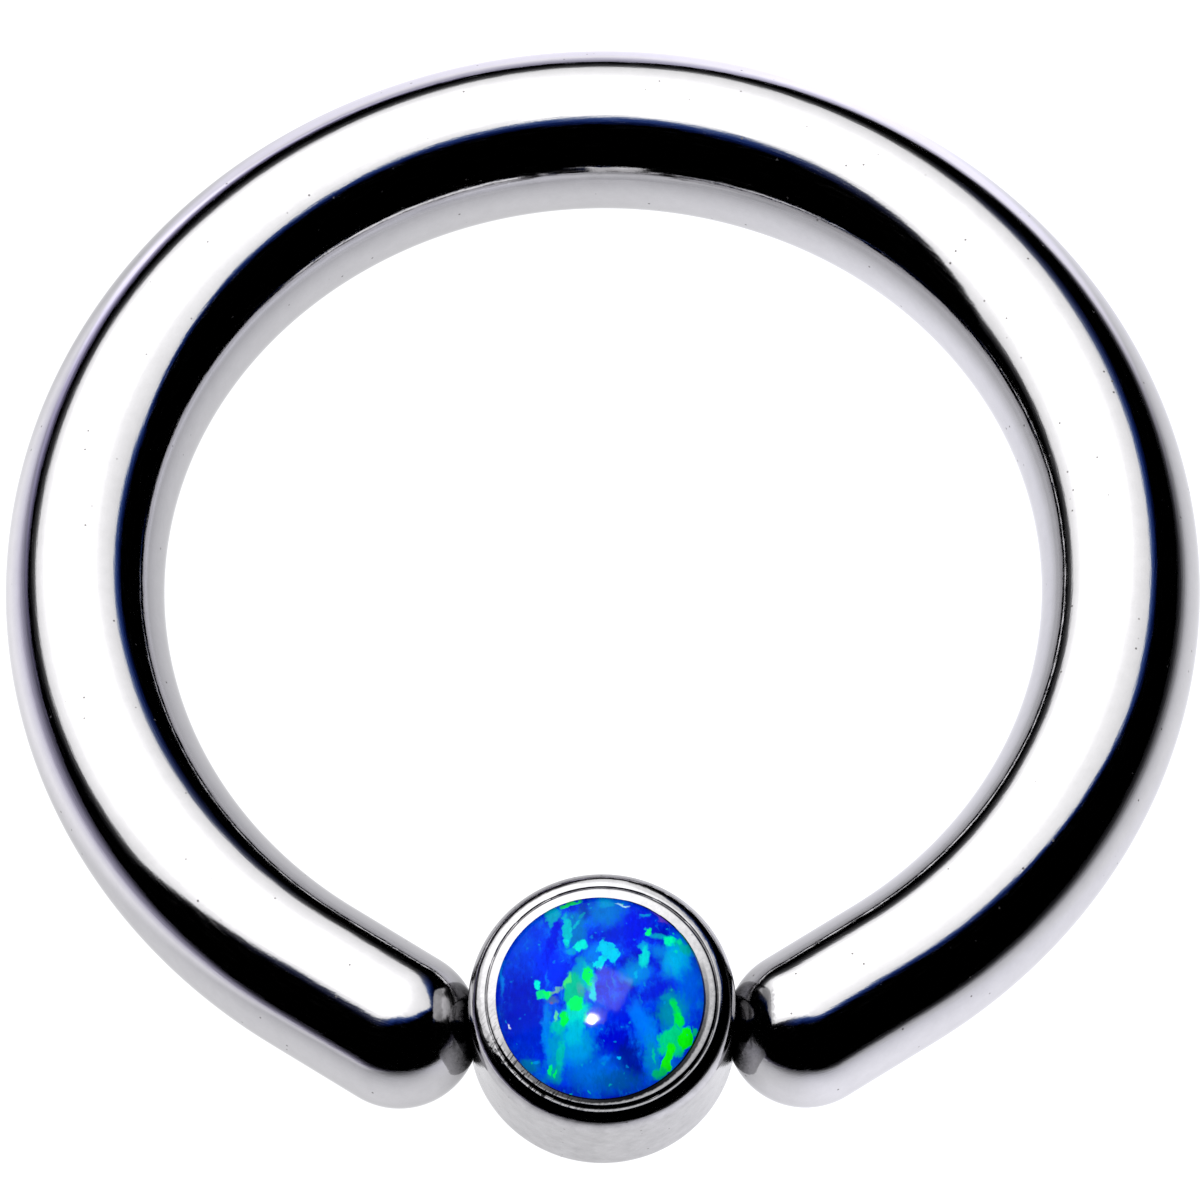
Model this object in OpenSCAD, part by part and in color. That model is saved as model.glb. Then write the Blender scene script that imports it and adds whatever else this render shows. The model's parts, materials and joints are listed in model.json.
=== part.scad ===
// Captive bead ring, lying on its side: an open ring of round wire whose two round ends
// hold a short drum-shaped bead, with an opal set in the front of the bead.
// X runs from end to end of the gap, the bead is towards -Y, and the ring lies on Z = 0.

/* [Ring] */
// Thickness of the round wire
wire_d = 3; // [2:0.1:4]
// Inside diameter of the ring
inner_d = 16.5; // [12:0.5:30]
// Length of the straight stretch before each round end
end_len = 2; // [0.5:0.1:4]

/* [Bead] */
// Width of the metal rim round the stone
rim_w = 0.5; // [0.4:0.05:1]
// Height of the bead from its back to its lip
bead_h = 3; // [2.6:0.1:5]
// Height above the bead's back of the line that it turns on
axis_h = 0.85; // [0.8:0.05:1.5]
// Radius of the bead's front edge
front_round = 0.45; // [0.2:0.05:0.5]
// Radius of the bead's back edge
back_round = 0.5; // [0.2:0.05:0.7]
// How far the bead is turned to face forwards, in degrees
bead_turn = 10.5; // [0:0.5:30]
// How deep each end of the ring sits in the side of the bead
seat_depth = 0.2; // [0.1:0.05:0.4]
// Running gap between each end of the ring and its dimple
dimple_gap = 0.04; // [0.02:0.01:0.08]

/* [Stone] */
// Diameter of the opal
stone_d = 4; // [3:0.1:6]
// Height of the opal's side, below its dome
stone_side = 0.7; // [0.4:0.05:0.9]
// Rise of the opal's dome
dome_h = 0.6; // [0.3:0.05:1.2]
// How far the stone's seat was cut to one side of the bead's middle
stone_shift = 0.04; // [0:0.01:0.1]
// Gap between the opal and the metal
stone_gap = 0.02; // [0.01:0.01:0.05]

/* [Lip] */
// How far the lip reaches in over the edge of the opal
lip_cover = 0.06; // [0.02:0.01:0.2]
// Height of the lip above the edge of the opal
lip_h = 0.1; // [0.05:0.01:0.3]
// How much larger than the lip's inner edge the groove's circle is
groove_in = 0.21; // [0.12:0.01:0.24]
// Width of the groove
groove_w = 0.08; // [0.04:0.01:0.1]
// Depth of the groove
groove_depth = 0.05; // [0.02:0.01:0.08]

/* [Hidden] */
$fn = 96;

wire_r = wire_d / 2;
stone_r = stone_d / 2;
bead_r = stone_r + rim_w;

// The ring's circle, and the round ends that rest in the bead's dimples
ring_r = inner_d / 2 + wire_r;
end_x = bead_r + wire_r - seat_depth;
end_r = norm([ring_r, end_len]);
gap_angle = asin(end_x / end_r) + atan(end_len / ring_r);
axis_dist = sqrt(end_r * end_r - end_x * end_x);

// Middles of the bead's rounded edges, across and along it from the line that it turns on
front_x = bead_r - front_round;
front_z = bead_h - axis_h - front_round;
back_x = bead_r - back_round;
back_z = axis_h - back_round;

// Reach of the turned bead in front of and below the line that it turns on
reach_front = front_x * cos(bead_turn) + front_z * sin(bead_turn) + front_round;
reach_down = back_x * sin(bead_turn) + back_z * cos(bead_turn) + back_round;

// The origin is below the middle of the whole, so the ring's middle lies a little behind it
axis_z = max(wire_r, reach_down);
ring_y = (axis_dist + reach_front - ring_r - wire_r) / 2;
bead_y = ring_y - axis_dist;

// Heights along the bead from the line that it turns on, and the ball that the dome is cut from
lip_z = bead_h - axis_h;
edge_z = lip_z - lip_h;
dome_r = (stone_r * stone_r + dome_h * dome_h) / (2 * dome_h);
dome_z = edge_z + dome_h - dome_r;
lip_r = stone_r - lip_cover;
groove_r = lip_r + groove_in;

// How far the bead's rounded front edge has dropped at a distance from its middle
function edge_drop(r) =
    r < front_x ? 0 : front_round - sqrt(front_round * front_round - (r - front_x) * (r - front_x));

// Half of the bead's outline, which is turned about its own axis
module drum_outline() {
    translate([0, -axis_h]) square([back_x, bead_h - front_round]);
    translate([0, -back_z]) square([bead_r, back_z + front_z]);
    translate([0, -axis_h + back_round]) square([front_x, bead_h - back_round]);
    translate([back_x, -back_z]) circle(r = back_round);
    translate([front_x, front_z]) circle(r = front_round);
}

// The stone's form, or with grow the space that it lies in
module stone_form(grow) {
    intersection() {
        translate([-stone_shift, 0, edge_z - stone_side - grow])
            cylinder(r = stone_r + grow, h = stone_side + dome_h + 3 * grow);
        translate([-stone_shift, 0, dome_z]) sphere(r = dome_r + grow);
    }
}

// Cuts the fine line that runs round the lip, true to the bead and not to the stone's seat
module groove_cut() {
    translate([0, 0, lip_z - edge_drop(groove_r)])
        rotate_extrude()
            polygon([[groove_r - groove_w, groove_depth], [groove_r, -groove_depth],
                     [groove_r + groove_w, groove_depth]]);
}

// Puts a piece of the bead on the line between the ring's ends, turned to face forwards
module on_axis() {
    translate([0, bead_y, axis_z]) rotate([bead_turn, 0, 0]) children();
}

// A straight stretch of wire along -Y that ends in half a ball
module wire_end() {
    rotate([90, 0, 0])
        rotate_extrude() {
            square([wire_r, end_len]);
            intersection() {
                translate([0, end_len]) circle(r = wire_r);
                translate([0, end_len]) square(wire_r);
            }
        }
}

// The ring's right half, from its round end to the middle of its back
module half_ring() {
    intersection() {
        rotate([0, 0, gap_angle - 90]) {
            rotate_extrude(angle = 180) translate([ring_r, 0]) circle(r = wire_r);
            translate([ring_r, 0]) wire_end();
        }
        translate([0, -2 * ring_r, -wire_d]) cube([2 * ring_r, 4 * ring_r, 2 * wire_d]);
    }
}

module ring() {
    color("silver")
        translate([0, ring_y, axis_z])
            for (side = [0, 1])
                mirror([side, 0, 0]) half_ring();
}

module bezel() {
    color("gainsboro")
        on_axis()
            difference() {
                rotate_extrude() drum_outline();
                stone_form(stone_gap);
                translate([-stone_shift, 0, edge_z]) cylinder(r = lip_r, h = 2 * lip_h);
                groove_cut();
                for (side = [-1, 1])
                    translate([side * end_x, 0, 0]) sphere(r = wire_r + dimple_gap);
            }
}

module opal() {
    color("royalblue")
        on_axis() stone_form(0);
}

ring();
bezel();
opal();
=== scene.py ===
# %% [markdown]
# # A captive bead ring in polished steel and opal
#
# The ring is a length of thick round steel wire, bent until its two round ends clasp a small drum-shaped
# bead. The bead holds a domed blue opal. Everything here is small: the whole piece is 23 mm long, so the
# script works in millimetres and turns them into Blender's metres at the last moment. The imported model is
# loaded first, because every piece has to lie exactly where the solid one lies.

# %% Load the fixed frame
import json
import math

import bmesh
import bpy
from mathutils import Matrix, Quaternion, Vector, noise


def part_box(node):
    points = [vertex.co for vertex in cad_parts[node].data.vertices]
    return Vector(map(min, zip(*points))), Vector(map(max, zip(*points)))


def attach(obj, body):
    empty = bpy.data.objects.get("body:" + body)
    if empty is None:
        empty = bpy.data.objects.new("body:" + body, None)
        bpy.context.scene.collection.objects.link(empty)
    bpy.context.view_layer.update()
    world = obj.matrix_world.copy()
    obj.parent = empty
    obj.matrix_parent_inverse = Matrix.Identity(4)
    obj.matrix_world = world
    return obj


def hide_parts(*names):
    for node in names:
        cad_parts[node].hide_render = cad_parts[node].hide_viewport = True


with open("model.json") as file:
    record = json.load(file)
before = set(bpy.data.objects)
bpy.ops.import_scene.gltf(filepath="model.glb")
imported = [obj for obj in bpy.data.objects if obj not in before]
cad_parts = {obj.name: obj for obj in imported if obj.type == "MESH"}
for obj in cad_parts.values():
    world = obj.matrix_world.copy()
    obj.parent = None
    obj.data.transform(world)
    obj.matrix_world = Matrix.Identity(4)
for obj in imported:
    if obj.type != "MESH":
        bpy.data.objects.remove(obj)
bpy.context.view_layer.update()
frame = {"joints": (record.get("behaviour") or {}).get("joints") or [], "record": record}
MM = 0.001

# %% [markdown]
# ## Sizes
#
# Most sizes come from the frame: the mount gives the wire's radius and a point on the back of the ring, the
# joint gives the line that the bead turns on, and the bead's box gives its width. The others are the real
# sizes of the ring, the bead and the stone, in millimetres.

# %% Take the main sizes from the frame
seat = frame["record"]["mounts"][0]
joint = frame["joints"][0]
bezel_low, bezel_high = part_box("bezel")

WIRE_R = seat["dims"]["r_mm"]
INSIDE_R = 8.25
RING_R = INSIDE_R + WIRE_R
BEAD_R = (bezel_high.x - bezel_low.x) / 2 / MM
ring_middle = Vector(seat["pos_m"]) / MM - Vector((0, RING_R, 0))
bead_middle = Vector(joint["pos_m"]) / MM
print("wire", WIRE_R, "ring", RING_R, "bead", round(BEAD_R, 3), "bead at", [round(c, 3) for c in bead_middle])

# %% Name the sizes of the ring's ends, the bead and the stone
END_LEN = 2.0
SEAT_DEPTH = 0.2
DIMPLE_GAP = 0.04
BEAD_TURN = math.radians(10.5)
LIP_Z = 2.15
BACK_Z = -0.85
FRONT_ROUND = 0.45
BACK_ROUND = 0.5
STONE_R = 2.0
STONE_SIDE = 0.7
STONE_GAP = 0.02
DOME_H = 0.6
STONE_SHIFT = -0.04
LIP_COVER = 0.06
LIP_H = 0.1
CHAMFER = 0.04
GROOVE_IN = 0.21
GROOVE_FALL = 0.075
GROOVE_RISE = 0.025
GROOVE_DEPTH = 0.045
LAND_DROP = 0.026

EDGE_Z = LIP_Z - LIP_H
DOME_R = (STONE_R**2 + DOME_H**2) / (2 * DOME_H)
DOME_Z = EDGE_Z + DOME_H - DOME_R
LIP_R = STONE_R - LIP_COVER
GROOVE_R = LIP_R + GROOVE_IN
END_X = BEAD_R + WIRE_R - SEAT_DEPTH
bead_place = Matrix.Translation(bead_middle) @ Matrix.Rotation(BEAD_TURN, 4, "X")
print("dome is cut from a ball of", round(DOME_R, 3), "mm; ring's ends at x =", round(END_X, 3))

# %% [markdown]
# ## The camera
#
# The photo looks down on the ring from the front. Its circle is seen as an ellipse, and the ellipse's height
# is nine tenths of its width, which puts the camera about 63 degrees up. The rims show no perspective, so the
# lens is a very long one, far away. The camera aims at the point that lies in the middle of the photo, which
# needs no shift at all.

# %% Place the camera
CAM_AZIMUTH = math.radians(0.73)
CAM_ELEVATION = math.radians(63.33)
CAM_ROLL = math.radians(-0.77)
CAM_DISTANCE = 600.0
FRAME_WIDTH = 22.638
SENSOR = 36.0
AIM_RIGHT = -0.063
AIM_UP = 0.785


def camera_axes():
    """The photo's right, up and backward directions in the row frame."""
    flat = math.cos(CAM_ELEVATION)
    backward = Vector((math.sin(CAM_AZIMUTH) * flat, -math.cos(CAM_AZIMUTH) * flat, math.sin(CAM_ELEVATION)))
    level = Vector((math.cos(CAM_AZIMUTH), math.sin(CAM_AZIMUTH), 0))
    turn = Matrix.Rotation(CAM_ROLL, 3, backward)
    return turn @ level, turn @ backward.cross(level), backward


def place_camera():
    right, up, backward = camera_axes()
    data = bpy.data.cameras.new("photo_camera")
    data.sensor_width = SENSOR
    data.lens = SENSOR * CAM_DISTANCE / FRAME_WIDTH
    data.clip_start = 0.01
    data.clip_end = 10
    camera = bpy.data.objects.new("photo_camera", data)
    bpy.context.scene.collection.objects.link(camera)
    aim = right * AIM_RIGHT + up * AIM_UP
    turn = Matrix((right, up, backward)).transposed().to_4x4()
    camera.matrix_world = Matrix.Translation((aim + backward * CAM_DISTANCE) * MM) @ turn
    bpy.context.scene.camera = camera
    return camera


camera = place_camera()
print("camera at", [round(c, 3) for c in camera.matrix_world.translation], "lens", round(camera.data.lens))

# %% [markdown]
# ## Helpers for nodes and colours
#
# A material in Blender is a tree of nodes. One function adds a node, sets its options and fills its inputs,
# so that each line below says one thing about the surface. Colours are written as sRGB hex, as a paint chart
# has them, and one function turns them into the linear values that the shaders work with.


# %% Make the colour and node helpers
def colour(code):
    """The linear RGBA of an sRGB hex colour."""
    parts = [int(code[i : i + 2], 16) / 255 for i in (0, 2, 4)]
    linear = [p / 12.92 if p <= 0.04045 else ((p + 0.055) / 1.055) ** 2.4 for p in parts]
    return (*linear, 1.0)


def fill(tree, node, inputs):
    """Fills a node's inputs, each with a plain value or another node's socket."""
    for name, value in inputs.items():
        if isinstance(value, bpy.types.NodeSocket):
            tree.links.new(value, node.inputs[name])
        else:
            node.inputs[name].default_value = value


def add(tree, kind, inputs=None, **options):
    """Adds a node with its options and inputs."""
    node = tree.nodes.new(kind)
    for name, value in options.items():
        setattr(node, name, value)
    fill(tree, node, inputs or {})
    return node


def calculate(tree, operation, *values):
    """One step of arithmetic in a tree: its result."""
    return add(tree, "ShaderNodeMath", dict(enumerate(values)), operation=operation).outputs[0]


def distance(tree, inward, back, up):
    """The length of a way with these three parts."""
    way = add(tree, "ShaderNodeCombineXYZ", {"X": inward, "Y": back, "Z": up}).outputs[0]
    return add(tree, "ShaderNodeVectorMath", {0: way}, operation="LENGTH").outputs["Value"]


def fading(tree, value, start, end):
    """Runs from 1 at the start to 0 at the end."""
    return add(tree, "ShaderNodeMapRange", {"Value": value, "From Min": end, "From Max": start}).outputs[0]


def trace(tree, factor, under, code):
    """Lays a colour over another where the factor says so."""
    return add(tree, "ShaderNodeMix", {0: factor, 6: under, 7: colour(code)}, data_type="RGBA").outputs[2]


def ramp(tree, value, stops):
    """A colour that changes along a value. Each stop is a place on it and a colour code or a plain number."""
    low, high = stops[0][0], stops[-1][0]
    share = add(tree, "ShaderNodeMapRange", {"Value": value, "From Min": low, "From Max": high})
    node = add(tree, "ShaderNodeValToRGB", {"Fac": share.outputs[0]})
    elements = node.color_ramp.elements
    shades = [colour(shade) if isinstance(shade, str) else (shade, shade, shade, 1) for place, shade in stops]
    elements[0].color = shades[0]
    elements[1].color = shades[-1]
    for (place, shade), linear in list(zip(stops, shades))[1:-1]:
        elements.new((place - low) / (high - low)).color = linear
    return node.outputs["Color"]


print("white is", colour("FFFFFF")[:3], "mid grey is", round(colour("808080")[0], 3))

# %% [markdown]
# ## The studio
#
# Polished steel shows nothing but its surroundings, so the studio is half of the picture. In the photo the
# wire carries one broad white band, a black band beside it and a pale floor along its lower edges. Read back
# from the wire's round section, that is a light tent: white overhead, nearly down to the horizon at the back
# and the left, but open and dark in front and on the right. So the sky is charted the way a tent is cut: for
# each direction, how many degrees from straight overhead the white cloth comes down, and how soft its edge is.

# %% Hang the light tent in the sky
TENT_LIGHT = 2.4
# Degrees round from the right towards the back, then degrees from overhead
TENT_REACH = [(-180, 70), (-168, 64), (-160, 38), (-152, 25), (-136, 16), (-105, 10), (-72, 10), (-40, 14),
              (-24, 19), (0, 29), (16, 47), (40, 51), (56, 58), (72, 69), (84, 78), (94, 77), (106, 71), (116, 72),
              (128, 76), (152, 78), (168, 75), (180, 70)]
TENT_SOFTNESS = [(-180, 1.2), (-165, 1.6), (-150, 2.2), (-130, 2), (-110, 1.5), (-20, 1.3), (10, 1.2), (30, 1.2),
                 (56, 2), (72, 1.3), (110, 1.4), (150, 1.4), (180, 1.2)]
# How many degrees before its edge the cloth starts to dim
TENT_DIMMING = [(-180, 15), (-168, 22), (-160, 14), (-148, 6), (-110, 3), (-50, 4), (-24, 12), (0, 15), (16, 30),
                (40, 26), (72, 21), (90, 15), (106, 6), (128, 6), (160, 12), (180, 15)]
# The light that is left, from well inside the edge to the edge, in steps of the dimming
TENT_FADE = [(-1.8, 1.0), (-1, 0.73), (-0.35, 0.6), (0, 0.5)]
# The edge itself, from inside to outside, in steps of the softness: plain cloth, and cloth with a blue hem
TENT_EDGE = [(-2, "FFFFFF"), (-1, "E8E8E8"), (0, "9A9A9C"), (1, "686869"), (2.3, "484848"), (4.7, "202022"),
             (7, "000000")]
TENT_HEM = [(-2, "FFFFFF"), (-1, "E4E8F0"), (0, "8C9ABC"), (1, "52689C"), (2.3, "2C4282"), (4.7, "0C1C50"),
            (7, "000000")]
# Where the hem is blue: round the front and the right
TENT_BLUE = [(-180, 0.0), (-160, 0.0), (-130, 1.0), (45, 1.0), (70, 0.0), (180, 0.0)]


def hang_tent():
    world = bpy.data.worlds.new("light_tent")
    world.use_nodes = True
    tree = world.node_tree
    tree.nodes.clear()
    way = add(tree, "ShaderNodeSeparateXYZ", {0: add(tree, "ShaderNodeTexCoord").outputs["Generated"]}).outputs
    round_angle = calculate(tree, "DEGREES", calculate(tree, "ARCTAN2", way["Y"], way["X"]))
    from_overhead = calculate(tree, "DEGREES", calculate(tree, "ARCCOSINE", way["Z"]))
    reach, softness, dimming = [ramp(tree, round_angle, chart) for chart in (TENT_REACH, TENT_SOFTNESS, TENT_DIMMING)]
    beyond = calculate(tree, "SUBTRACT", from_overhead, reach)
    steps = calculate(tree, "DIVIDE", beyond, softness)
    edge = add(tree, "ShaderNodeMix", {0: ramp(tree, round_angle, TENT_BLUE), 6: ramp(tree, steps, TENT_EDGE),
                                       7: ramp(tree, steps, TENT_HEM)}, data_type="RGBA")
    fade = ramp(tree, calculate(tree, "DIVIDE", beyond, dimming), TENT_FADE)
    cloth = add(tree, "ShaderNodeMix", {0: 1.0, 6: fade, 7: edge.outputs[2]}, data_type="RGBA", blend_type="MULTIPLY")
    sky = add(tree, "ShaderNodeBackground", {"Color": cloth.outputs[2], "Strength": TENT_LIGHT})
    add(tree, "ShaderNodeOutputWorld", {"Surface": sky.outputs[0]})
    bpy.context.scene.world = world


hang_tent()
bpy.context.scene.view_settings.view_transform = "Standard"
print("light tent hung; it comes down to", max(degrees for angle, degrees in TENT_REACH), "degrees from overhead")

# %% [markdown]
# The ring lies on a sheet of opal acrylic that is lit from below, which is why the photo has a pure white
# ground without a shadow. At a flat angle the light has a longer way through the sheet's clear skin, so the
# steel sees the sheet darken towards the horizon. The lamps below it are strongest at the back and the left,
# with a trace of violet, and they end soon on the right. The bead is wider than the wire, so the sheet has a
# shallow dish below it. That gives the bead room to turn while the ring lies flat.

# %% Lay the lit sheet
SHEET_R = 2000.0
SHEET_SIDES = 96
DISH_DEPTH = 1.8
DISH_R = 6.0
SHEET_GLOW = 5.6
SHEET_SKIN = "D7D7D9"
# Millimetres to the right, and millimetres to the back
SHEET_SIDE = [(-60, "666278"), (-33, "88849A"), (-23, "A6A2B6"), (-19, "B5B1C4"), (-17.5, "D6D2E2"),
              (-15.5, "F4F2FC"), (-13, "FFFEFF"), (-11, "D0D0D0"), (0, "D0D0D0"), (3, "DCDCDE"), (5, "ECECF0"),
              (11, "EAEAEE"), (12.5, "E7E7E7"), (15, "DEDEDE"), (16.2, "D6D6D6"), (17.7, "C4C4C4"),
              (19.6, "A1A1A1"), (24, "797979"), (33, "3B3B3B"), (60, "000000")]
SHEET_BACK = [(-60, "696969"), (-30, "929292"), (-20, "B2B2B2"), (-12, "B7B7B7"), (10.5, "B7B7B7"), (13, "E2E0E8"),
              (17, "F7F4FF"), (20, "FFFCFF"), (27, "E5E2F0"), (60, "DAD6E8")]


def sheet_mesh():
    """A wide disc round the bead's place, with a shallow dish in which the bead has room to turn."""
    shape = bmesh.new()
    rows = []
    for radius in [step / 2 for step in range(1, 41)] + [60.0, SHEET_R]:
        low = DISH_DEPTH * math.exp(-((radius / DISH_R) ** 2))
        ways = [Matrix.Rotation(math.tau * step / SHEET_SIDES, 3, "Z") @ Vector((radius, 0, -low))
                for step in range(SHEET_SIDES)]
        rows.append([shape.verts.new((way + Vector((bead_middle.x, bead_middle.y, 0))) * MM) for way in ways])
    shape.faces.new(rows[0])
    for near, far in zip(rows, rows[1:]):
        for step in range(SHEET_SIDES):
            after = (step + 1) % SHEET_SIDES
            shape.faces.new((near[step], far[step], far[after], near[after]))
    mesh = bpy.data.meshes.new("lit_sheet")
    shape.to_mesh(mesh)
    shape.free()
    mesh.shade_smooth()
    return mesh


def lay_sheet():
    mesh = sheet_mesh()
    sheet = bpy.data.objects.new("lit_sheet", mesh)
    bpy.context.scene.collection.objects.link(sheet)
    acrylic = bpy.data.materials.new("lit_opal_acrylic")
    acrylic.use_nodes = True
    tree = acrylic.node_tree
    place = add(tree, "ShaderNodeTexCoord").outputs["Object"]
    parts = add(tree, "ShaderNodeSeparateXYZ", {0: place}).outputs
    side = ramp(tree, calculate(tree, "DIVIDE", parts["X"], MM), SHEET_SIDE)
    back = ramp(tree, calculate(tree, "DIVIDE", parts["Y"], MM), SHEET_BACK)
    glow = add(tree, "ShaderNodeMix", {0: 1.0, 6: side, 7: back}, data_type="RGBA", blend_type="MULTIPLY")
    fill(tree, tree.nodes["Principled BSDF"], {
        "Emission Color": glow.outputs[2], "Emission Strength": SHEET_GLOW, "Base Color": colour("58585A"),
        "Roughness": 0.9, "Specular IOR Level": 0.0, "Coat Weight": 1.0, "Coat IOR": 1.1,
        "Coat Tint": colour(SHEET_SKIN), "Coat Roughness": 0.12})
    mesh.materials.append(acrylic)


lay_sheet()
print("sheet laid, glowing at", SHEET_GLOW)

# %% [markdown]
# ## The steel
#
# Body jewellery is made of surgical stainless steel, polished on a buffing wheel. The buff leaves a mirror
# that is a little wavy, with hair-fine marks that run along the wire or round the bead, and here and there a
# pit the size of a dust grain. A cloudy film of the polish stays on it. Steel is a metal, so all of its
# colour is in its reflection: a neutral grey that rises less towards a flat angle than in silver or gold,
# which the specular tint stands for.

# %% Polish the steel
STEEL = "C2C1C3"
STEEL_AT_FLAT_ANGLE = "E2E2E2"
WAVE_MM = 0.6
FILM_MM = 0.3
GRAIN_MM = 0.035
GRAIN_STRETCH = 12.0
# One cell in a few holds a pit. Its edge fades between these shares of the cell
PIT_CELL_MM = 0.2
PIT_EDGE = (0.06, 0.15)
PIT_COLOUR = "6E6B6A"


def polished_steel(name, middle, turn, film_code, wave_height, grain_height, roughness, pits):
    """Steel with marks that run round a piece's own upright line. Gives the material and its coordinates."""
    material = bpy.data.materials.new(name)
    material.use_nodes = True
    tree = material.node_tree

    # Millimetres from the piece's own middle, then out from its line, along it and round it
    place = add(tree, "ShaderNodeTexCoord").outputs["Object"]
    own = add(tree, "ShaderNodeMapping", {"Vector": place, "Location": middle * MM, "Rotation": (turn, 0, 0),
                                           "Scale": (MM, MM, MM)}, vector_type="TEXTURE").outputs[0]
    parts = add(tree, "ShaderNodeSeparateXYZ", {0: own}).outputs
    out = distance(tree, parts["X"], parts["Y"], 0.0)
    angle = calculate(tree, "ARCTAN2", parts["X"], parts["Y"])
    around = calculate(tree, "DIVIDE", calculate(tree, "MULTIPLY", out, angle), GRAIN_STRETCH)
    brushed = add(tree, "ShaderNodeCombineXYZ", {"X": out, "Y": parts["Z"], "Z": around}).outputs[0]

    grain = add(tree, "ShaderNodeTexNoise", {"Vector": brushed, "Scale": 1 / GRAIN_MM, "Detail": 2.0}).outputs[0]
    dust = add(tree, "ShaderNodeTexNoise", {"Vector": own, "Scale": 1 / GRAIN_MM, "Detail": 1.0}).outputs[0]
    wave = add(tree, "ShaderNodeTexNoise", {"Vector": own, "Scale": 1 / WAVE_MM, "Detail": 3.0}).outputs[0]
    cells = add(tree, "ShaderNodeTexVoronoi", {"Vector": own, "Scale": 1 / PIT_CELL_MM})
    near = fading(tree, cells.outputs["Distance"], *PIT_EDGE)
    pit = calculate(tree, "MULTIPLY", near, calculate(tree, "LESS_THAN", cells.outputs["Color"], pits))

    clouds = add(tree, "ShaderNodeTexNoise", {"Vector": own, "Scale": 1 / FILM_MM, "Detail": 6.0, "Roughness": 0.7})
    film = add(tree, "ShaderNodeMapRange", {"Value": clouds.outputs[0], "From Min": 0.3, "From Max": 0.7}).outputs[0]
    filmed = trace(tree, film, colour(STEEL), film_code)
    metal = trace(tree, pit, filmed, PIT_COLOUR)
    gloss = add(tree, "ShaderNodeMapRange", {"Value": grain, "From Min": 0.45, "From Max": 0.75,
                                              "To Min": roughness, "To Max": roughness * 4})
    waves = add(tree, "ShaderNodeBump", {"Height": wave, "Strength": 1.0, "Distance": wave_height * MM})
    marks = add(tree, "ShaderNodeBump", {"Height": calculate(tree, "MULTIPLY_ADD", dust, 0.5, grain), "Strength": 1.0,
                                          "Distance": grain_height * MM, "Normal": waves.outputs[0]})
    fill(tree, tree.nodes["Principled BSDF"], {
        "Metallic": 1.0, "Specular Tint": colour(STEEL_AT_FLAT_ANGLE), "Base Color": metal,
        "Roughness": calculate(tree, "MULTIPLY_ADD", pit, 0.3, gloss.outputs[0]), "Normal": marks.outputs[0]})
    return material, metal, own, angle


ring_steel, ring_metal, ring_place_mm, round_ring = polished_steel(
    "buffed_surgical_steel", ring_middle, 0.0, "BCBBBD", 0.0008, 0.0005, 0.03, 0.22)
bezel_steel, bezel_metal, bead_place_mm, round_bead = polished_steel(
    "burnished_surgical_steel", bead_middle, BEAD_TURN, "A8A7A9", 0.001, 0.0012, 0.04, 0.3)
print("steel:", ring_steel.name, "and", bezel_steel.name)

# %% [markdown]
# The stone was pressed home with a burnisher, a hard steel rod that is rubbed round the lip. It leaves the
# lip greyer and streaky, most of all at the lower right. A thin dark line of painted shadow lies in the joint
# there, where shade falls between the lip and the stone, and there are cross scratches where the tool slipped at the
# lower left.

# %% Add the burnisher's traces and the joint's painted shadow to the bezel's steel
STREAK_MM = 0.09
# Width, waviness and fade of the painted shadow in the joint
JOINT_SHADOW = 0.12
JOINT_SHADOW_WAVE = 0.035
JOINT_SHADOW_FADE = 0.03
# From the side that is rubbed least to the side that is rubbed most
LIP_GREY = [(0, 0.0), (0.12, 0.05), (0.3, 0.35), (0.75, 0.85), (1, 1.0)]
# Degrees round the bead, with 0 at the back and 90 on the right
LIP_GREY_SIDE, JOINT_SHADOW_SIDE, SLIP_SIDE = 150, 158, 218
SLIP_MM = (0.035, 0.25, 0.25)
SLIP_TURN = math.radians(-38)


def towards(tree, degrees, sharpness):
    """Runs from 1 in one direction round the bead to 0 a quarter of a turn away from it."""
    turned_by = calculate(tree, "SUBTRACT", round_bead, math.radians(degrees))
    return calculate(tree, "POWER", calculate(tree, "MAXIMUM", calculate(tree, "COSINE", turned_by), 0.0), sharpness)


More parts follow.
